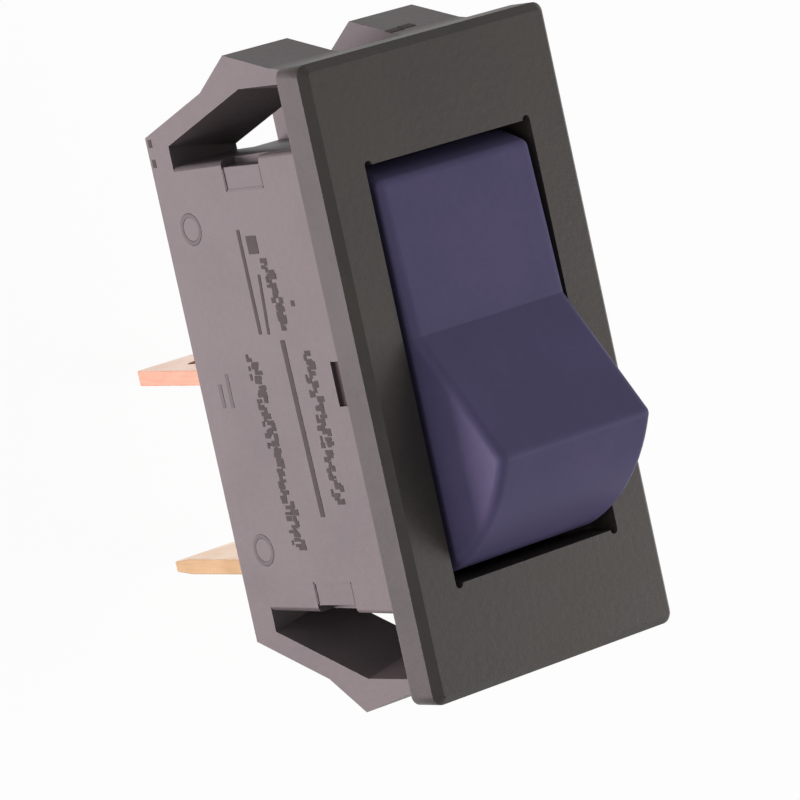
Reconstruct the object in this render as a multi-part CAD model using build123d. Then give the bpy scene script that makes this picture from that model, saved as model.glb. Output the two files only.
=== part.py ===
from build123d import *
import math
import os

# Panel-mount rocker switch. Sizes are in millimetres. +Z points out of the panel, +Y runs along
# the bezel, and the origin is the centre of the bezel's underside, where it meets the panel.
# The rest position has the rocker pressed in at its +Y end, which closes the contacts.

# Rocker: a V-shaped face between two ridges, turning about a pivot behind the bezel.
rocker_width = 9.6
rocker_radius = 10.3
rocker_valley = 5.2
rocker_face_slope = 17.0
rocker_tilt = 19.5
rocker_wall = 1.1
rocker_edge_round = 0.45
pivot_depth = 2.4
trunnion_radius = 1.1
trunnion_length = 0.9
trunnion_boss = 2.0
stem_width = 4.4
lower_lip = 0.5

# Housing: bezel, box-shaped body and four snap arms in one moulding.
bezel_length = 31.0
bezel_width = 15.4
bezel_thickness = 2.0
bezel_chamfer = 0.4
bezel_corner = 0.55
window_side_gap = 0.4
window_end_gap = 0.15
window_relief = 0.22
body_depth = 13.6
body_draft = 1.2
body_corner = 0.25
wall = 0.8
end_recess = 0.25
skirt_clearance = 0.35
pivot_clearance = 0.05
pivot_bore_depth = 0.55
slot_length = 2.2
slot_bottom = 2.85
slot_height = 1.2

# Snap arms: rooted at the back corners, leaning outward, with the head under the bezel. Their
# thicknesses are measured along the bezel.
arm_gap = 3.9
arm_root_reach = 1.6
arm_root_thickness = 1.75
arm_thickness = 1.15
arm_taper = 0.75
arm_knee_depth = 8.4
arm_peak_depth = 6.0
arm_peak_overhang = 0.8
arm_ramp_depth = 2.6
arm_ramp_inset = 0.9
arm_tip_gap = 0.4
arm_tip_inset = 1.2
arm_tip_thickness = 0.5
arm_neck_depth = 5.3

# Base board with four latch legs whose hooks snap into windows at the body's corners.
base_thickness = 1.8
base_clearance = 0.05
latch_top = 5.0
latch_height = 3.0
latch_width = 1.7
latch_leg = 0.85
latch_neck = 0.25
latch_gap = 0.05
latch_recess = 0.35

# Blades: quick-connect tabs 6.3 x 0.8 that stand out behind the base. The middle one narrows
# towards a blunt tip, and the end one is nearly straight with a long bevel.
tab_width = 6.3
tab_thickness = 0.8
tab_hole = 0.9
tab_hole_from_tip = 3.9
tab_fit = 0.03
shoulder_width = 7.6
common_y = 0.0
common_reach = 11.3
common_tip_width = 3.7
common_tip_round = 0.9
common_tip_thickness = 0.65
common_bevel_length = 0.5
load_y = -9.72
load_reach = 10.2
load_tip_width = 5.5
load_tip_round = 0.4
load_tip_thickness = 0.5
load_bevel_length = 1.5

# Contact system: a see-saw bar on the common blade's saddle, closed at its -Y end.
bar_width = 4.0
bar_thickness = 0.6
bar_rise = 0.62
bar_dip = 4.4
bar_tilt = 8.0
bar_short_arm = 4.6
bar_end_margin = 1.2
saddle_gap = 0.02
saddle_side_gap = 0.12
ear_height = 1.7
contact_y = -8.0
contact_gap = 0.03
fixed_contact_radius = 1.3
fixed_contact_height = 0.62
moving_contact_radius = 1.15
moving_contact_height = 0.5
moving_contact_dome = 3.0
shelf_margin = 1.6
stop_length = 1.1
stop_inset = 0.2
stop_gap = 0.08

# Plunger and its spring, in a bore in the rocker's stem.
plunger_radius = 1.2
plunger_clearance = 0.05
plunger_gap = 0.12
plunger_travel = 0.8
plunger_length = 3.8
plunger_showing = 1.9
spring_coil_radius = 0.85
spring_wire = 0.16
spring_wire_sides = 8
spring_turns = 7
spring_seat = 0.02
bore_roof = 2.2

# Extra reach of a cutting shape past the face that it cuts, and overlap of shapes that are joined.
overrun = 1.0
bite = 0.1

# Values worked out from the sizes above.
draft_slope = math.tan(math.radians(body_draft))
window_width = rocker_width + 2 * window_side_gap
window_length = 2 * (math.sqrt(rocker_radius**2 - pivot_depth**2) + window_end_gap)
body_width = window_width + 2 * wall
cavity_half = rocker_radius + skirt_clearance
body_half = cavity_half + wall
body_half_back = body_half - body_depth * draft_slope
base_top = base_thickness - body_depth
bar_sine = math.sin(math.radians(bar_tilt))
bar_cosine = math.cos(math.radians(bar_tilt))
bar_long_arm = bar_end_margin - contact_y / bar_cosine
closed_level = base_top + tab_thickness + fixed_contact_height + contact_gap
dome_centre = bar_rise - moving_contact_height + moving_contact_dome
contact_drop = contact_y / bar_cosine * bar_sine + dome_centre * bar_cosine - moving_contact_dome
saddle_depth = contact_drop - closed_level
plunger_tip = saddle_depth - bar_thickness - plunger_gap - pivot_depth
stem_reach = plunger_tip - plunger_showing
skirt_low = pivot_depth + rocker_radius * math.sin(math.radians(rocker_tilt))
bore_top = rocker_valley - bore_roof
tilt = Location((0, 0, -pivot_depth), (-rocker_tilt, 0, 0))
bar_pose = Location((0, 0, -saddle_depth), (bar_tilt, 0, 0))


def block(x0, x1, y0, y1, z0, z1):
    """Box between two opposite corners."""
    centre = Pos((x0 + x1) / 2, (y0 + y1) / 2, (z0 + z1) / 2)
    return centre * Box(x1 - x0, y1 - y0, z1 - z0)


def side_slab(points, x0, x1):
    """Prism with the given outline in the YZ plane, from x0 to x1."""
    face = make_face(Plane.YZ.offset(x0) * Polyline(points, close=True))
    return extrude(face, amount=x1 - x0, dir=(1, 0, 0))


def front_slab(points, y0, y1):
    """Prism with the given outline of (x, z) points, from y0 to y1."""
    corners = [(x, y0, z) for x, z in points]
    return extrude(make_face(Polyline(corners, close=True)), amount=y1 - y0, dir=(0, 1, 0))


def four_ways(piece):
    """The piece with its mirror images in X and in Y."""
    pair = piece + mirror(piece, about=Plane.YZ)
    return pair + mirror(pair, about=Plane.XZ)


def bezel():
    """Flat rim with rounded corners, a chamfered front edge and the rocker's window."""
    plate = Pos(0, 0, bezel_thickness / 2) * Box(bezel_width, bezel_length, bezel_thickness)
    plate = fillet(plate.edges().filter_by(Axis.Z), bezel_corner)
    plate = chamfer(plate.faces().sort_by(Axis.Z)[-1].edges(), bezel_chamfer)
    window = Pos(0, 0, bezel_thickness / 2) * Box(window_width, window_length, 3 * bezel_thickness)
    corner = Pos(window_width / 2 - window_relief, window_length / 2, bezel_thickness / 2)
    relief = corner * Cylinder(window_relief, 3 * bezel_thickness)
    return plate - window - four_ways(relief)


def body_box():
    """Box behind the bezel, narrowing a little in length, with end walls thinned between the arms."""
    outline = [
        (-body_half, 0),
        (body_half, 0),
        (body_half_back, -body_depth),
        (-body_half_back, -body_depth),
    ]
    shell = side_slab(outline, -body_width / 2, body_width / 2)
    upright = [e for e in shell.edges() if abs(e.center().X) > wall and e.bounding_box().size.Z > wall]
    shell = fillet(upright, body_corner)
    recess = [
        (body_half - end_recess, 0),
        (body_half + overrun, 0),
        (body_half + overrun, -body_depth),
        (body_half_back - end_recess, -body_depth),
    ]
    recess = side_slab(recess, -arm_gap / 2, arm_gap / 2)
    shell = shell - recess - mirror(recess, about=Plane.XZ)
    inner = [(math.copysign(abs(y) - wall, y), z) for y, z in outline]
    inner[2] = (inner[2][0] - draft_slope * overrun, -body_depth - overrun)
    inner[3] = (inner[3][0] + draft_slope * overrun, -body_depth - overrun)
    return shell - side_slab(inner, -window_width / 2, window_width / 2)


def arm_outline(extra):
    """Corners (y, z) of the arm's section, with extra thickness on the side towards the body."""
    root = body_half_back + arm_root_reach
    peak = bezel_length / 2 + arm_peak_overhang
    tip = peak - arm_tip_inset
    lean = (tip - arm_tip_thickness - root + arm_thickness) / (body_depth - arm_neck_depth)
    neck = tip - arm_tip_thickness - extra
    inside = root - arm_thickness - extra
    anchor = body_half_back - wall / 2
    slot_floor = arm_root_thickness - body_depth
    return [
        (anchor, -body_depth),
        (root, -body_depth),
        (root + (body_depth - arm_knee_depth) * lean, -arm_knee_depth),
        (peak, -arm_peak_depth),
        (peak - arm_ramp_inset, -arm_ramp_depth),
        (tip, -arm_tip_gap),
        (neck, -arm_tip_gap),
        (neck, -arm_neck_depth),
        (inside + arm_root_thickness * lean, slot_floor),
        (anchor, slot_floor),
    ]


def snap_arm():
    """Sprung leg at the +X, +Y corner, thicker towards the middle, with a ramped head."""
    ends = ((arm_gap / 2, arm_taper), (body_width / 2, 0.0))
    sections = [make_face(Plane.YZ.offset(x) * Polyline(arm_outline(t), close=True)) for x, t in ends]
    return loft(sections, ruled=True)


def latch_window():
    """Space at the +X, +Y corner where the base's hook snaps in."""
    near = body_half - latch_width
    bottom = -latch_top - latch_height
    return block(window_width / 2 - bite, body_width, near, body_half + overrun, bottom, -latch_top)


def pivot_bearing():
    """Blind bore in the +X wall for the rocker's pin, with a short slot through the wall."""
    inside = window_width / 2 - bite
    depth = pivot_bore_depth + bite
    centre = Location((inside + depth / 2, 0, -pivot_depth), (0, 90, 0))
    bore = centre * Cylinder(trunnion_radius + pivot_clearance, depth)
    half = slot_length / 2
    slot = block(0, body_width, -half, half, -slot_bottom, slot_height - slot_bottom)
    outside = block(inside, body_width, -body_half, body_half, -body_depth, 0)
    return bore + (slot & outside)


def housing():
    """Bezel, body and snap arms as the one moulding that holds everything else."""
    bearing = pivot_bearing()
    moulding = bezel() + body_box() + four_ways(snap_arm())
    return moulding - bearing - mirror(bearing, about=Plane.YZ) - four_ways(latch_window())


def latch_leg_piece():
    """Leg and hook at the base's +X, +Y corner."""
    outer = window_width / 2 - base_clearance
    far = cavity_half - body_depth * draft_slope - base_clearance
    near = body_half - latch_width + latch_gap
    top = -latch_top - latch_gap
    bottom = -latch_top - latch_height + latch_gap
    leg = block(outer - latch_leg, outer, near, far, -body_depth, -skirt_low - skirt_clearance)
    neck = block(outer - latch_neck, outer, near, far, -body_depth, top)
    end_face = body_half + bottom * draft_slope - latch_recess
    hook = block(outer, body_width / 2 - latch_gap, near, end_face, bottom, top)
    return leg + neck + hook


def blade_slot(y):
    """Slot in the base for one blade."""
    half = tab_thickness / 2 + tab_fit
    side = tab_width / 2 + tab_fit
    return block(-side, side, y - half, y + half, -body_depth - overrun, base_top + overrun)


def base():
    """Board that closes the back, with latch legs, blade slots and the bar's off stop."""
    half_x = window_width / 2 - base_clearance
    half_y = cavity_half - body_depth * draft_slope - base_clearance
    board = block(-half_x, half_x, -half_y, half_y, -body_depth, base_top)
    legs = four_ways(latch_leg_piece())
    stop_end = bar_short_arm * bar_cosine - stop_inset
    stop_top = -saddle_depth + bar_rise * bar_cosine - bar_short_arm * bar_sine - stop_gap
    stop = block(-bar_width / 2, bar_width / 2, stop_end - stop_length, stop_end, -body_depth, stop_top)
    return board + legs + stop - blade_slot(common_y) - blade_slot(load_y)


def tab(y, reach, tip_width, tip_round, tip_thickness, bevel_length):
    """Outer end of a blade: tapered outline, rounded and bevelled tip, and locking hole."""
    end = -body_depth - reach
    half = tab_width / 2
    tip = tip_width / 2
    outline = [
        (-half, base_top),
        (half, base_top),
        (half, -body_depth),
        (tip, end),
        (-tip, end),
        (-half, -body_depth),
    ]
    blade = front_slab(outline, y - tab_thickness / 2, y + tab_thickness / 2)
    blade = fillet(blade.edges().filter_by(Axis.Y).group_by(Axis.Z)[0], tip_round)
    hole = Location((0, y, end + tab_hole_from_tip), (90, 0, 0)) * Cylinder(tab_hole, 2 * tab_thickness)
    wedge = [
        (y + tip_thickness / 2, end),
        (y + tab_thickness, end),
        (y + tab_thickness, end + bevel_length),
        (y + tab_thickness / 2, end + bevel_length),
    ]
    front = side_slab(wedge, -tab_width, tab_width)
    back = side_slab([(2 * y - a, b) for a, b in wedge], -tab_width, tab_width)
    return blade - hole - front - back


def common_terminal():
    """Middle blade: its inner end is a saddle whose two ears keep the contact bar in place."""
    seat = -saddle_depth - saddle_gap
    ear = bar_width / 2 + saddle_side_gap
    top = seat + ear_height
    outline = [
        (-shoulder_width / 2, base_top),
        (shoulder_width / 2, base_top),
        (shoulder_width / 2, top),
        (ear, top),
        (ear, seat),
        (-ear, seat),
        (-ear, top),
        (-shoulder_width / 2, top),
    ]
    half = tab_thickness / 2
    upper = front_slab(outline, common_y - half, common_y + half)
    tip = (common_tip_width, common_tip_round, common_tip_thickness, common_bevel_length)
    return tab(common_y, common_reach, *tip) + upper


def load_terminal():
    """End blade, bent inside into a shelf that lies on the base and carries the fixed contact."""
    half = shoulder_width / 2
    outer = load_y - tab_thickness / 2
    inner = contact_y + shelf_margin
    shelf = block(-half, half, outer, inner, base_top, base_top + tab_thickness)
    bend = shelf.edges().filter_by(Axis.X).group_by(Axis.Z)[-1].sort_by(Axis.Y)[0]
    shelf = fillet(bend, tab_thickness / 2)
    tip = (load_tip_width, load_tip_round, load_tip_thickness, load_bevel_length)
    return tab(load_y, load_reach, *tip) + shelf


def fixed_contact():
    """Silver button on the load terminal's shelf, with a flat face and a rounded rim."""
    bottom = base_top + tab_thickness
    middle = Pos(0, contact_y, bottom + fixed_contact_height / 2)
    button = middle * Cylinder(fixed_contact_radius, fixed_contact_height)
    return fillet(button.faces().sort_by(Axis.Z)[-1].edges(), fixed_contact_height / 3)


def bar_outline():
    """Bar's outline from the side, in its own frame: centre dip between two level arms."""
    dip = bar_dip / 2
    lower = [
        (-bar_long_arm, bar_rise),
        (-dip, bar_rise),
        (0, 0),
        (dip, bar_rise),
        (bar_short_arm, bar_rise),
    ]
    upper = [(y, z + bar_thickness) for y, z in reversed(lower)]
    return lower + upper


def contact_bar():
    """See-saw strip that joins the two blades, posed with its -Y end down."""
    strip = side_slab(bar_outline(), -bar_width / 2, bar_width / 2)
    ends = strip.edges().filter_by(Axis.Z).group_by(Axis.Y)
    strip = fillet(ends[0] + ends[-1], bar_width / 6)
    return bar_pose * strip


def moving_contact():
    """Silver button under the bar's long arm, with a domed face that meets the fixed contact."""
    reach = contact_y / bar_cosine
    middle = Pos(0, reach, bar_rise - moving_contact_height / 2)
    button = middle * Cylinder(moving_contact_radius, moving_contact_height)
    return bar_pose * (button & Pos(0, reach, dome_centre) * Sphere(moving_contact_dome))


def rocker_outline(inset, low):
    """Sector outline of the rocker in its own frame: V face, end arcs and level lower edge."""
    slope = math.radians(rocker_face_slope)
    radius = rocker_radius - inset
    valley = rocker_valley - inset / math.cos(slope)
    drop = valley * math.cos(slope)
    along = math.sqrt(radius**2 - drop**2) - valley * math.sin(slope)
    ridge = (along * math.cos(slope), valley + along * math.sin(slope))
    foot = (math.sqrt(radius**2 - low**2), low)
    left_ridge = (-ridge[0], ridge[1])
    left_foot = (-foot[0], foot[1])
    edges = [
        Line(left_ridge, (0, valley)),
        Line((0, valley), ridge),
        RadiusArc(ridge, foot, radius),
        Line(foot, left_foot),
        RadiusArc(left_foot, left_ridge, radius),
    ]
    return Plane.YZ * make_face(Wire(edges))


def rocker():
    """Hollow rocker with pivot pins and the stem that carries the plunger."""
    half = rocker_width / 2
    outer = extrude(rocker_outline(0, 0), amount=half, both=True)
    valley = Vector(0, 0, rocker_valley)
    rim = [e for e in outer.edges() if e.center().Z > bite and (e.center() - valley).length > bite]
    outer = fillet(rim, rocker_edge_round)
    hollow = extrude(rocker_outline(rocker_wall, -lower_lip), amount=half - rocker_wall, both=True)
    boss = Rot(0, 90, 0) * Cylinder(trunnion_boss, rocker_width)
    gap = Box(rocker_width - 2 * rocker_wall, 3 * trunnion_boss, 3 * trunnion_boss)
    pins = Rot(0, 90, 0) * Cylinder(trunnion_radius, rocker_width + 2 * trunnion_length)
    pins = pins - Box(rocker_width - 2 * bite, 3 * trunnion_radius, 3 * trunnion_radius)
    side = stem_width / 2
    stem = block(-side, side, -side, side, -stem_reach, rocker_valley - rocker_wall / 2)
    bore_length = bore_top + stem_reach + overrun
    bore = Cylinder(plunger_radius + plunger_clearance, bore_length)
    bore = Pos(0, 0, bore_top - bore_length / 2) * bore
    return tilt * (outer - hollow + (boss - gap) + pins + stem - bore)


def plunger():
    """Pin with a round nose that rides on the contact bar."""
    body = Pos(0, 0, -plunger_tip + plunger_length / 2) * Cylinder(plunger_radius, plunger_length)
    body = fillet(body.faces().sort_by(Axis.Z)[0].edges(), plunger_radius * 0.98)
    return tilt * body


def plunger_spring():
    """Coil spring between the plunger's top and the end of the stem's bore."""
    bottom = -plunger_tip + plunger_length + spring_wire + spring_seat
    length = bore_top - bottom - spring_wire - spring_seat
    path = Helix(pitch=length / spring_turns, height=length, radius=spring_coil_radius)
    section = (path ^ 0) * RegularPolygon(spring_wire, spring_wire_sides)
    return tilt * (Pos(0, 0, bottom) * sweep(section, path))


os.makedirs("parts", exist_ok=True)
for make in (
    housing,
    base,
    common_terminal,
    load_terminal,
    fixed_contact,
    rocker,
    plunger,
    plunger_spring,
    contact_bar,
    moving_contact,
):
    export_step(make(), f"parts/{make.__name__}.step")
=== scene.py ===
import math

import bmesh
import bpy
from mathutils import Matrix, Vector


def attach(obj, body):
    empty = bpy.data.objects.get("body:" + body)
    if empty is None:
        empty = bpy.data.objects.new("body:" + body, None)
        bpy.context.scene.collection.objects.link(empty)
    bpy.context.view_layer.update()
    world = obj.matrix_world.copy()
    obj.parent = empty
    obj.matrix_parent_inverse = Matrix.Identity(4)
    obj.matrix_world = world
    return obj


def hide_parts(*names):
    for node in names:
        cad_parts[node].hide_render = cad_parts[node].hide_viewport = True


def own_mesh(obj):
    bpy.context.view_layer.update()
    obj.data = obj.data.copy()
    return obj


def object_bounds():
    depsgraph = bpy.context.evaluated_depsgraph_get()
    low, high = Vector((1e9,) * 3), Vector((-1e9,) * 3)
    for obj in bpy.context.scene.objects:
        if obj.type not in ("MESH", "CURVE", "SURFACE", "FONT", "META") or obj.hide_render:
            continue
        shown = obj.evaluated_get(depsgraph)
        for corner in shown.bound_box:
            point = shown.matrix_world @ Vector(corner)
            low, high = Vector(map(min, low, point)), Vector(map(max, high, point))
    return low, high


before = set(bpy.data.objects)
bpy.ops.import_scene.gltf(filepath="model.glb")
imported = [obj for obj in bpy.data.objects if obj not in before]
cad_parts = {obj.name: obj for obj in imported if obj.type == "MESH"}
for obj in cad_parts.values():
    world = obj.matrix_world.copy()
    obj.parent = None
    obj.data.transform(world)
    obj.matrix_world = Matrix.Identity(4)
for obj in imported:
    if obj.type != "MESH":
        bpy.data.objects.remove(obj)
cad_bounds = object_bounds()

# Camera: it stands in front of the switch and to its left, a little above, and is rolled so that
# the bezel leans to the left. A long lens keeps the perspective as weak as it is in a catalogue
# picture.
camera_aim = Vector((-0.00457, -0.001227, 0.0))
camera_distance = 0.27355
camera_swing = math.radians(37.7)
camera_rise = math.radians(7.37)
camera_roll = math.radians(-12.32)
film_width = 36
lens_length = 259.35
nearest_seen = 0.01


def added(name, data):
    """A new object in the scene, made of a mesh, a lamp or a camera."""
    item = bpy.data.objects.new(name, data)
    bpy.context.scene.collection.objects.link(item)
    return item


away = Vector((
    -math.sin(camera_swing) * math.cos(camera_rise),
    math.sin(camera_rise),
    math.cos(camera_swing) * math.cos(camera_rise),
))
level = Vector((math.cos(camera_swing), 0, math.sin(camera_swing)))
across = level * math.cos(camera_roll) + away.cross(level) * math.sin(camera_roll)
upward = away.cross(across)
lens = bpy.data.cameras.new("camera")
lens.sensor_width = film_width
lens.lens = lens_length
lens.clip_start = nearest_seen
camera = added("camera", lens)
camera.matrix_world = (
    Matrix.Translation(camera_aim + away * camera_distance)
    @ Matrix((across, upward, away)).transposed().to_4x4()
)
bpy.context.scene.camera = camera
bpy.context.scene.view_settings.view_transform = "Standard"


# Lamps: a soft panel behind on the left lights the body's side, the bezel's edge and the arms, and
# the bezel shades the rocker from it. A weaker one straight on the left fills the rocker's side. A
# wide panel in front on the right shines in the bezel's face, and a small near one makes the face
# lighter towards its lower right corner.
def soft_panel(name, direction, distance, size, watts, colour):
    """A square lamp that faces the switch, with its distance and size in metres."""
    lamp = bpy.data.lights.new(name, "AREA")
    lamp.shape = "SQUARE"
    lamp.size = size
    lamp.energy = watts
    lamp.color = colour
    panel = added(name, lamp)
    towards = Vector(direction).normalized()
    turn = towards.to_track_quat("Z", "Y").to_matrix().to_4x4()
    panel.matrix_world = Matrix.Translation(towards * distance) @ turn


soft_panel(
    "left_panel", direction=(-0.605, -0.05, -0.785),
    distance=0.16, size=0.1, watts=0.42, colour=(1.0, 0.86, 0.91),
)
soft_panel(
    "side_panel", direction=(-0.97, 0.05, 0.15),
    distance=0.45, size=0.3, watts=0.44, colour=(1.0, 0.98, 1.0),
)
soft_panel(
    "front_panel", direction=(0.607, -0.127, 0.785),
    distance=0.45, size=0.3, watts=0.24, colour=(1.0, 0.97, 0.93),
)
soft_panel(
    "near_panel", direction=(0.76, -0.3, 0.57),
    distance=0.12, size=0.06, watts=0.05, colour=(1.0, 0.97, 0.96),
)


# Shading terms: a material is written as sums and products of its sockets. A term is one socket
# of a node tree, and an expression on terms adds the Math nodes that work it out.
class Term:
    def __init__(self, tree, socket=None):
        self.tree = tree
        self.socket = socket

    def node(self, kind, settings, inputs, output=0):
        """The chosen output of a new node, after its settings and then its sockets are given."""
        made = self.tree.nodes.new(kind)
        for name, value in settings.items():
            setattr(made, name, value)
        named = {socket.identifier: socket for socket in made.inputs}
        for key, value in inputs.items():
            socket = made.inputs[key] if isinstance(key, int) else named[key]
            if isinstance(value, Term):
                self.tree.links.new(value.socket, socket)
            else:
                socket.default_value = value
        return Term(self.tree, made.outputs[output] if made.outputs else None)

    def maths(self, operation, first, second):
        return self.node("ShaderNodeMath", {"operation": operation}, {0: first, 1: second})

    def __add__(self, other):
        return self.maths("ADD", self, other)

    def __radd__(self, other):
        return self.maths("ADD", other, self)

    def __sub__(self, other):
        return self.maths("SUBTRACT", self, other)

    def __rsub__(self, other):
        return self.maths("SUBTRACT", other, self)

    def __mul__(self, other):
        return self.maths("MULTIPLY", self, other)

    def __rmul__(self, other):
        return self.maths("MULTIPLY", other, self)

    def blend(self, first, second):
        """The first colour where this term is 0, and the second where it is 1."""
        colour_result = 2
        sockets = {"Factor_Float": self, "A_Color": first, "B_Color": second}
        return self.node("ShaderNodeMix", {"data_type": "RGBA"}, sockets, colour_result)

    def stepped(self, low, high):
        """This term spread so that low becomes 0 and high becomes 1, with both ends held."""
        sockets = {"Value": self, "From Min": low, "From Max": high}
        return self.node("ShaderNodeMapRange", {"interpolation_type": "SMOOTHSTEP"}, sockets)

    def along(self, axis):
        """The object's own X, Y or Z coordinate, in metres."""
        place = self.node("ShaderNodeTexCoord", {}, {}, "Object")
        return self.node("ShaderNodeSeparateXYZ", {}, {"Vector": place}, axis)

    def noise(self, scale, detail, stretch=(1.0, 1.0, 1.0)):
        """Cloudy noise over the object, in features of about 1 / scale metres."""
        place = self.node("ShaderNodeTexCoord", {}, {}, "Object")
        place = self.node("ShaderNodeMapping", {}, {"Vector": place, "Scale": stretch})
        sockets = {"Vector": place, "Scale": scale, "Detail": detail}
        return self.node("ShaderNodeTexNoise", {}, sockets)


def new_material(name):
    """An empty material and the term that its nodes start from."""
    material = bpy.data.materials.new(name)
    material.use_nodes = True
    material.node_tree.nodes.clear()
    return material, Term(material.node_tree)


def seen_directly(start):
    """1 for what the camera sees, straight or in a reflection, and 0 for what lights a surface."""
    rays = start.node("ShaderNodeLightPath", {}, {}).socket.node.outputs
    camera_ray = Term(start.tree, rays["Is Camera Ray"])
    glossy_ray = Term(start.tree, rays["Is Glossy Ray"])
    through_ray = Term(start.tree, rays["Is Transmission Ray"])
    return (camera_ray + glossy_ray + through_ray).stepped(0.0, 1.0)


# Floor: a white sheet under the blades' tips. It shows as plain white and keeps the soft shadow
# of the switch. It lets the lamps through from below, as a lit table does.
floor_gap = 0.0006
floor_half = 1.5
floor_white = (0.9, 0.9, 0.9, 1.0)
full_white = (1.0, 1.0, 1.0, 1.0)
glow_share = 0.95
floor_level = cad_bounds[0][2] - floor_gap
floor_square = ((-1, -1), (1, -1), (1, 1), (-1, 1))
sheet = bpy.data.meshes.new("floor")
corners = [(x * floor_half, y * floor_half, floor_level) for x, y in floor_square]
sheet.from_pydata(corners, [], [(0, 1, 2, 3)])
floor = added("floor", sheet)
floor.visible_shadow = False
white_sheet, start = new_material("white_sheet")
matt = start.node("ShaderNodeBsdfDiffuse", {}, {"Color": floor_white})
glow = start.node("ShaderNodeEmission", {}, {"Color": full_white, "Strength": 1.0})
lit_share = seen_directly(start) * glow_share
lit = start.node("ShaderNodeMixShader", {}, {0: lit_share, 1: matt, 2: glow})
start.node("ShaderNodeOutputMaterial", {}, {"Surface": lit})
sheet.materials.append(white_sheet)

# World: an even white surround. It is white where it is seen, and lights the switch from every
# side at a lower strength.
surround_light = 0.36
world = bpy.data.worlds.new("surround")
world.use_nodes = True
world.node_tree.nodes.clear()
bpy.context.scene.world = world
start = Term(world.node_tree)
strength = seen_directly(start) * (1.0 - surround_light) + surround_light
sky = start.node("ShaderNodeBackground", {}, {"Color": full_white, "Strength": strength})
start.node("ShaderNodeOutputWorld", {}, {"Surface": sky})


# Housing: bezel, body and four snap arms in one injection moulding of black nylon. The mould is
# spark eroded, so the surface is an even fine grain, and its edges come out slightly round.
def softened(node, body, edge_round, material):
    """A copy of a rigid piece, with its facets joined up and its sharp edges rounded."""
    same_place = 1e-6
    flat_angle = math.radians(0.5)
    sharp_angle = math.radians(32)
    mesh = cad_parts[node].data.copy()
    shape = bmesh.new()
    shape.from_mesh(mesh)
    bmesh.ops.remove_doubles(shape, verts=shape.verts, dist=same_place)
    bmesh.ops.dissolve_limit(
        shape, angle_limit=flat_angle, verts=shape.verts, edges=shape.edges
    )
    shape.to_mesh(mesh)
    shape.free()
    mesh.materials.clear()
    raw = added(node + "_raw", mesh)
    bevel = raw.modifiers.new("edges", "BEVEL")
    bevel.width = edge_round
    bevel.segments = 2
    bevel.limit_method = "ANGLE"
    bevel.angle_limit = sharp_angle
    bevel.harden_normals = True
    bpy.context.view_layer.update()
    evaluated = raw.evaluated_get(bpy.context.evaluated_depsgraph_get())
    finished = bpy.data.meshes.new_from_object(evaluated)
    bpy.data.objects.remove(raw)
    finished.materials.append(material)
    piece = added(node + "_finished", finished)
    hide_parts(node)
    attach(piece, body)
    return piece


def plastic(name, colour, tint, roughness, grain, shine, rim=None):
    """A moulded plastic: clouded colour, uneven gloss and the mould's fine grain.

    The rim, in front of the panel, gets its own colour and roughness; the lighter colour behind it
    is painted sheen.
    """
    refraction = 1.53
    cloud_gloss = 0.16
    pit_gloss = 0.1
    rim_border = 0.0001
    material, start = new_material(name)
    clouds = start.noise(scale=220.0, detail=4.0)
    fine = start.noise(scale=2600.0, detail=3.0)
    pits = start.noise(scale=6500.0, detail=1.0)
    mottle = (clouds * 0.75 + fine * 0.25).stepped(0.3, 0.7)
    shade = mottle.blend(colour, tint)
    gloss = roughness + (clouds - 0.5) * cloud_gloss + (pits - 0.5) * pit_gloss
    if rim:
        in_front = start.along("Z").stepped(-rim_border, rim_border)
        shade = in_front.blend(shade, mottle.blend(rim["colour"], rim["tint"]))
        gloss = gloss + in_front * (rim["roughness"] - roughness)
    relief = {"Height": fine * 0.7 + pits * 0.3, "Distance": grain, "Strength": 0.6}
    sockets = {
        "Base Color": shade,
        "Roughness": gloss,
        "Normal": start.node("ShaderNodeBump", {}, relief),
        "IOR": refraction,
        "Specular IOR Level": shine,
    }
    surface = start.node("ShaderNodeBsdfPrincipled", {}, sockets)
    start.node("ShaderNodeOutputMaterial", {}, {"Surface": surface})
    return material


housing_edge = 0.00008
# Behind the panel the nylon is coloured lighter than at the rim: painted sheen, standing in for
# the strong light on the body's left side.
rim_without_painted_sheen = {
    "colour": (0.04, 0.036, 0.033, 1.0),
    "tint": (0.055, 0.047, 0.042, 1.0),
    "roughness": 0.45,
}
nylon = plastic(
    "black_nylon", colour=(0.09, 0.075, 0.078, 1.0), tint=(0.11, 0.092, 0.095, 1.0),
    roughness=0.48, grain=0.00003, shine=0.2, rim=rim_without_painted_sheen,
)
softened("housing", "body", housing_edge, nylon)


# Marks on the body's left side: plain strokes, bars and rings of the same nylon. They are cut into
# the mould, so they stand out a little from the wall. They are coloured darker than the wall,
# whose lighter colour is painted sheen.
def new_tree(name, sockets):
    """A Geometry Nodes tree with the named inputs, and a term for each of them."""
    tree = bpy.data.node_groups.new(name, "GeometryNodeTree")
    tree.interface.new_socket("Geometry", in_out="OUTPUT", socket_type="NodeSocketGeometry")
    for label, kind in sockets.items():
        tree.interface.new_socket(label, in_out="INPUT", socket_type=kind)
    entry = tree.nodes.new("NodeGroupInput")
    return tree, {label: Term(tree, entry.outputs[label]) for label in sockets}


def end_tree(shape, material):
    """The tree's end: its instances made real, with their material."""
    solid = shape.node("GeometryNodeRealizeInstances", {}, {"Geometry": shape})
    sockets = {"Geometry": solid, "Material": material}
    coated = shape.node("GeometryNodeSetMaterial", {}, sockets)
    shape.node("NodeGroupOutput", {}, {0: coated})


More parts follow.
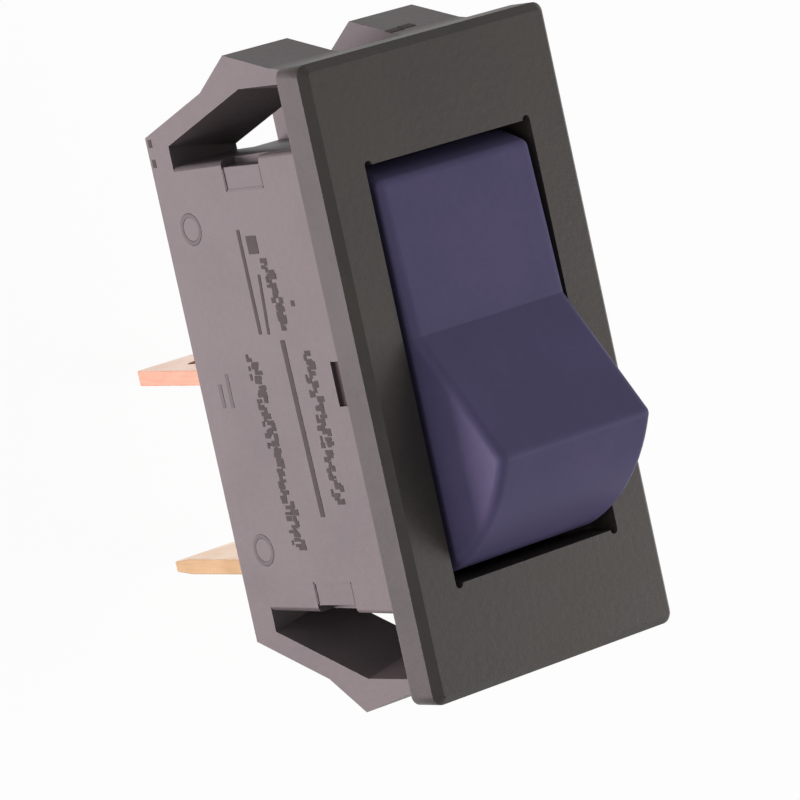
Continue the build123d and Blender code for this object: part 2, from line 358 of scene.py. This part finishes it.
def grown(tree, values):
    """The plain mesh that a tree makes from the given inputs."""
    carrier = added("carrier", bpy.data.meshes.new("carrier"))
    growth = carrier.modifiers.new("growth", "NODES")
    growth.node_group = tree
    for item in tree.interface.items_tree:
        if item.in_out == "INPUT":
            growth[item.identifier] = values[item.name]
    bpy.context.view_layer.update()
    evaluated = carrier.evaluated_get(bpy.context.evaluated_depsgraph_get())
    mesh = bpy.data.meshes.new_from_object(evaluated)
    bpy.data.objects.remove(carrier)
    return mesh


row_tree, row = new_tree("row_of_strokes", {
    "Start": "NodeSocketVector",
    "Step": "NodeSocketVector",
    "Count": "NodeSocketInt",
    "Stroke": "NodeSocketVector",
    "Turn": "NodeSocketVector",
    "Least": "NodeSocketVector",
    "Scatter": "NodeSocketVector",
    "Seed": "NodeSocketInt",
    "Material": "NodeSocketMaterial",
})
places = row["Start"].node(
    "GeometryNodeMeshLine",
    {"mode": "OFFSET"},
    {"Count": row["Count"], "Start Location": row["Start"], "Offset": row["Step"]},
)
chance = places.node(
    "FunctionNodeRandomValue",
    {"data_type": "FLOAT_VECTOR"},
    {"Min": (-1.0, -1.0, -1.0), "Max": (1.0, 1.0, 1.0), "Seed": row["Seed"]},
)
multiply = {"operation": "MULTIPLY"}
shift = places.node("ShaderNodeVectorMath", multiply, {0: chance, 1: row["Scatter"]})
places = places.node("GeometryNodeSetPosition", {}, {"Geometry": places, "Offset": shift})
stroke = places.node("GeometryNodeMeshCube", {}, {"Size": row["Stroke"]})
share = places.node(
    "FunctionNodeRandomValue",
    {"data_type": "FLOAT_VECTOR"},
    {"Min": row["Least"], "Max": (1.0, 1.0, 1.0), "Seed": row["Seed"]},
)
strokes = places.node(
    "GeometryNodeInstanceOnPoints",
    {},
    {"Points": places, "Instance": stroke, "Rotation": row["Turn"], "Scale": share},
)
end_tree(strokes, row["Material"])

ring_tree, ring = new_tree("ring", {
    "Centre": "NodeSocketVector",
    "Radius": "NodeSocketFloat",
    "Width": "NodeSocketFloat",
    "Material": "NodeSocketMaterial",
})
ring_sides = 32
rim_sides = 8
ring_flatness = 0.06
circle = "GeometryNodeCurvePrimitiveCircle"
loop = ring["Centre"].node(circle, {}, {"Resolution": ring_sides, "Radius": ring["Radius"]})
rim_line = loop.node(circle, {}, {"Resolution": rim_sides, "Radius": ring["Width"]})
torus = loop.node("GeometryNodeCurveToMesh", {}, {"Curve": loop, "Profile Curve": rim_line})
placed = loop.node(
    "GeometryNodeTransform",
    {},
    {
        "Geometry": torus,
        "Translation": ring["Centre"],
        "Rotation": (0.0, math.pi / 2, 0.0),
        "Scale": (1.0, 1.0, ring_flatness),
    },
)
end_tree(placed, ring["Material"])


millimetre = 0.001


def in_metres(sizes):
    """A place or a size in metres, from one in millimetres."""
    return tuple(millimetre * value for value in sizes)


def plates(start, step, count, size, material, turn=0.0, least=(1.0, 1.0, 1.0),
           scatter=(0.0, 0.0, 0.0), seed=0):
    """A row of plates, with places and sizes in millimetres.

    Chance shrinks each one to between least and all of its size, and moves it by up to scatter.
    """
    return grown(row_tree, {
        "Start": in_metres(start),
        "Step": in_metres(step),
        "Count": count,
        "Stroke": in_metres(size),
        "Turn": (turn, 0.0, 0.0),
        "Least": least,
        "Scatter": in_metres(scatter),
        "Seed": seed,
        "Material": material,
    })


mark_wall = -6.0
mark_relief = 0.03
least_relief = 0.5
ring_width = 0.12
mark_nylon = plastic(
    "mark_nylon", colour=(0.038, 0.031, 0.031, 1.0), tint=(0.053, 0.042, 0.042, 1.0),
    roughness=0.6, grain=0.00002, shine=0.1,
)
faint_nylon = plastic(
    "faint_nylon", colour=(0.058, 0.048, 0.05, 1.0), tint=(0.074, 0.062, 0.064, 1.0),
    roughness=0.52, grain=0.00002, shine=0.2,
)


def stroke_row(start, end, count, length, width, least, scatter, seed):
    """Strokes from one (y, z) place on the wall to another, in millimetres.

    Each stroke is length across the row and width along it, shrunk and moved by chance.
    """
    first = Vector((mark_wall, *start))
    return plates(
        start=first, step=(Vector((mark_wall, *end)) - first) / (count - 1), count=count,
        size=(mark_relief, width, length), material=mark_nylon,
        least=(least_relief, *least), scatter=(0.0, *scatter), seed=seed,
    )


def scribbled_row(start, end, tall_count, short_count, length, scatter, seed):
    """Tall thin strokes, and short wide ones among them in a row that is a little shorter."""
    sooner = 0.1
    inner_start = (start[0] - sooner, start[1])
    inner_end = (end[0] + sooner, end[1])
    return [
        stroke_row(
            start, end, tall_count, length=length, width=0.3,
            least=(0.5, 0.6), scatter=(0.14, scatter), seed=seed,
        ),
        stroke_row(
            inner_start, inner_end, short_count, length=0.32, width=0.4,
            least=(0.6, 0.5), scatter=(0.14, scatter + 0.1), seed=seed + 1,
        ),
    ]


def bar_mark(start, end, width, material=mark_nylon, seed=0):
    """One straight bar between two (y, z) places on the wall, in millimetres."""
    a, b = (Vector((mark_wall, *point)) for point in (start, end))
    slope = math.atan2(b.z - a.z, b.y - a.y)
    return plates(
        start=(a + b) / 2, step=(0.0, 0.0, 0.0), count=1,
        size=(mark_relief, (b - a).length, width), material=material,
        turn=slope, least=(least_relief, 1.0, 1.0), seed=seed,
    )


def ring_mark(y, z, radius):
    """A ring round a (y, z) place on the wall, in millimetres."""
    return grown(ring_tree, {
        "Centre": in_metres((mark_wall, y, z)),
        "Radius": radius * millimetre,
        "Width": ring_width * millimetre,
        "Material": faint_nylon,
    })


def joined_piece(name, shapes, materials, body):
    """One piece from several meshes, each of one of the given materials."""
    mesh = bpy.data.meshes.new(name)
    joined = bmesh.new()
    for shape in shapes:
        own = next(material for material in shape.materials if material)
        first = len(joined.faces)
        joined.from_mesh(shape)
        joined.faces.ensure_lookup_table()
        for face in joined.faces[first:]:
            face.material_index = materials.index(own)
    joined.to_mesh(mesh)
    joined.free()
    for material in materials:
        mesh.materials.append(material)
    piece = added(name, mesh)
    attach(piece, body)


mark_shapes = [
    *scribbled_row((1.5, -8.97), (-8.0, -8.5), 42, 34, length=0.6, scatter=0.36, seed=3),
    *scribbled_row((1.5, -4.5), (-5.8, -4.5), 33, 27, length=0.55, scatter=0.32, seed=8),
    *scribbled_row((6.2, -6.15), (2.85, -5.8), 16, 13, length=0.5, scatter=0.3, seed=5),
    bar_mark((7.5, -6.9), (6.6, -6.9), width=0.8),
    bar_mark((2.3, -6.2), (-6.5, -6.05), width=0.34),
    bar_mark((7.84, -7.8), (2.65, -7.8), width=0.24),
    bar_mark((5.58, -6.9), (2.62, -7.15), width=0.2),
    bar_mark((0.8, -11.3), (-0.9, -11.3), width=0.26, material=faint_nylon),
    bar_mark((0.3, -12.0), (-0.9, -12.0), width=0.26, material=faint_nylon, seed=1),
    bar_mark((4.2, -4.74), (3.92, -4.74), width=0.28),
    ring_mark(y=8.07, z=-11.5, radius=0.7),
    ring_mark(y=-8.1, z=-11.4, radius=0.7),
]
joined_piece("side_marks", mark_shapes, [mark_nylon, faint_nylon], "body")


# Dark plates on the housing. A web closes the slot beside each bearing, and its dark colour is
# painted shade for the shadowed hole. A flat patch on one arm's head is painted shade where a
# hollow would be. Two small dark spots sit at a corner.
# Painted shade: a dark colour for plates that stand where the housing only shows shadow.
painted_shade_nylon = plastic(
    "painted_shade_nylon", colour=(0.045, 0.032, 0.03, 1.0), tint=(0.06, 0.043, 0.04, 1.0),
    roughness=0.6, grain=0.00002, shine=0.1,
)
head_slope = math.atan2(0.256, 0.967)
slot_webs = plates(
    start=(-5.79, 0.0, -2.25), step=(11.58, 0.0, 0.0), count=2,
    size=(0.07, 2.24, 1.24), material=painted_shade_nylon,
)
head_shade_patch = plates(
    start=(2.34, 15.54, -3.15), step=(0.85, 0.02, -0.08), count=2,
    size=(0.8, 0.06, 0.48), material=painted_shade_nylon, turn=head_slope,
)
# Two small dark spots at the body's lower back corner.
corner_dark_spots = plates(
    start=(-6.0, 12.46, -13.3), step=(0.0, -1.0, 0.0), count=2,
    size=(0.03, 0.4, 0.26), material=mark_nylon,
)
dark_plate_shapes = [slot_webs, head_shade_patch, corner_dark_spots]
joined_piece("dark_plates", dark_plate_shapes, [mark_nylon, painted_shade_nylon], "body")


# Base: the board of the same nylon that closes the body's back. Its four hooks fill the windows
# at the body's corners, and thin strips close the joints round them to just under the surface.
base_edge = 0.00003
# Its colour is as light as the body's behind the panel: painted sheen.
base_nylon = plastic(
    "base_nylon", colour=(0.088, 0.073, 0.076, 1.0), tint=(0.106, 0.088, 0.092, 1.0),
    roughness=0.48, grain=0.00003, shine=0.2,
)
softened("base", "body", base_edge, base_nylon)
strip_side = 5.8
strip_thickness = 0.37
joint_shapes = []
for side in (-strip_side, strip_side):
    for y, z, width, height, material in (
        (9.775, -6.5, 0.12, 3.04, base_nylon),
        (10.3, -7.975, 1.1, 0.1, base_nylon),
        (10.3, -5.025, 1.1, 0.1, mark_nylon),
    ):
        joint_shapes.append(plates(
            start=(side, y, z), step=(0.0, -2 * y, 0.0), count=2,
            size=(strip_thickness, width, height), material=material,
        ))
joined_piece("hook_joints", joint_shapes, [base_nylon, mark_nylon], "body")


# Blades: stamped from half-hard brass strip and left unplated. The strip's rolling lines run
# along each blade, and its sheared edges are rougher and of a deeper colour.
def stamped(name, pale, deep, roughness, along, sheared=None):
    """A rolled and stamped copper alloy, with streaks along the strip and a light tarnish.

    Where the punch sheared the strip, the metal is rougher and of the colour given as sheared.
    """
    streak_gloss = 0.2
    tarnish_gloss = 0.12
    sheared_gloss = 0.35
    line_depth = 0.00001
    material, start = new_material(name)
    streaks = start.noise(scale=5200.0, detail=3.0, stretch=along)
    tarnish = start.noise(scale=420.0, detail=4.0)
    shade = (tarnish * 0.65 + streaks * 0.35).stepped(0.35, 0.68).blend(pale, deep)
    gloss = roughness + (streaks - 0.5) * streak_gloss + (tarnish - 0.5) * tarnish_gloss
    if sheared:
        cut = start.node("ShaderNodeAttribute", {"attribute_name": "sheared"}, {}, "Fac")
        shade = cut.blend(shade, sheared)
        gloss = gloss + cut * sheared_gloss
    relief = {"Height": streaks, "Distance": line_depth, "Strength": 0.5}
    sockets = {
        "Base Color": shade,
        "Roughness": gloss,
        "Normal": start.node("ShaderNodeBump", {}, relief),
        "Metallic": 1.0,
    }
    surface = start.node("ShaderNodeBsdfPrincipled", {}, sockets)
    start.node("ShaderNodeOutputMaterial", {}, {"Surface": surface})
    return material


def mark_sheared(piece):
    """Give each face 1 in the attribute "sheared" where the punch cut it, and 0 elsewhere."""
    cut = piece.data.attributes.new("sheared", "FLOAT", "FACE")
    for face in piece.data.polygons:
        cut.data[face.index].value = float(abs(face.normal.y) < 0.5)


blade_edge = 0.00006
strip_grain = (1.0, 1.0, 0.06)
common_brass = stamped(
    "common_brass", pale=(0.9, 0.68, 0.56, 1.0), deep=(0.82, 0.56, 0.43, 1.0),
    roughness=0.38, along=strip_grain, sheared=(0.44, 0.232, 0.166, 1.0),
)
load_brass = stamped(
    "load_brass", pale=(0.9, 0.69, 0.52, 1.0), deep=(0.8, 0.55, 0.36, 1.0),
    roughness=0.38, along=strip_grain, sheared=(0.335, 0.24, 0.138, 1.0),
)
mark_sheared(softened("common_terminal", "body", blade_edge, common_brass))
mark_sheared(softened("load_terminal", "body", blade_edge, load_brass))


# Contacts: small buttons of silver alloy. One is riveted to the load blade's shelf, and the other
# under the end of the contact bar.
def refinished(node, material):
    """Give a CAD node that keeps its own shape another material."""
    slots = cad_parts[node].data.materials
    slots.clear()
    slots.append(material)


no_grain = (1.0, 1.0, 1.0)
silver = stamped(
    "contact_silver", pale=(0.83, 0.82, 0.8, 1.0), deep=(0.6, 0.58, 0.55, 1.0),
    roughness=0.28, along=no_grain,
)
refinished("fixed_contact", silver)
refinished("moving_contact", silver)


# Contact bar: a see-saw stamped from copper alloy strip, with the strip's rolling lines along it.
# It rocks on the common blade's saddle.
bar_edge = 0.00005
bar_copper = stamped(
    "bar_copper", pale=(0.86, 0.55, 0.38, 1.0), deep=(0.7, 0.38, 0.24, 1.0),
    roughness=0.36, along=(1.0, 0.06, 1.0),
)
softened("contact_bar", "contact_bar", bar_edge, bar_copper)


# Rocker: one moulding of dark violet-blue plastic with a satin face. It turns on two pins that
# are moulded on its sides.
violet_plastic = plastic(
    "violet_plastic", colour=(0.088, 0.079, 0.158, 1.0), tint=(0.106, 0.09, 0.182, 1.0),
    roughness=0.42, grain=0.000015, shine=0.05,
)
refinished("rocker", violet_plastic)


# Plunger: a round-nosed pin of natural acetal, which slides in the rocker's stem and rides on
# the contact bar.
acetal = plastic(
    "natural_acetal", colour=(0.78, 0.76, 0.69, 1.0), tint=(0.72, 0.69, 0.62, 1.0),
    roughness=0.38, grain=0.00001, shine=0.5,
)
refinished("plunger", acetal)


# Plunger spring: coiled from drawn spring wire, pressed between the plunger and the stem's bore.
# It stands against the bore's end.
wire = stamped(
    "spring_wire", pale=(0.62, 0.62, 0.63, 1.0), deep=(0.42, 0.42, 0.44, 1.0),
    roughness=0.3, along=no_grain,
)
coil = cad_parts["plunger_spring"].data.copy()
coil.materials.clear()
coil.materials.append(wire)
spring = added("plunger_spring_finished", coil)
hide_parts("plunger_spring")
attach(spring, "rocker")
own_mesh(spring)
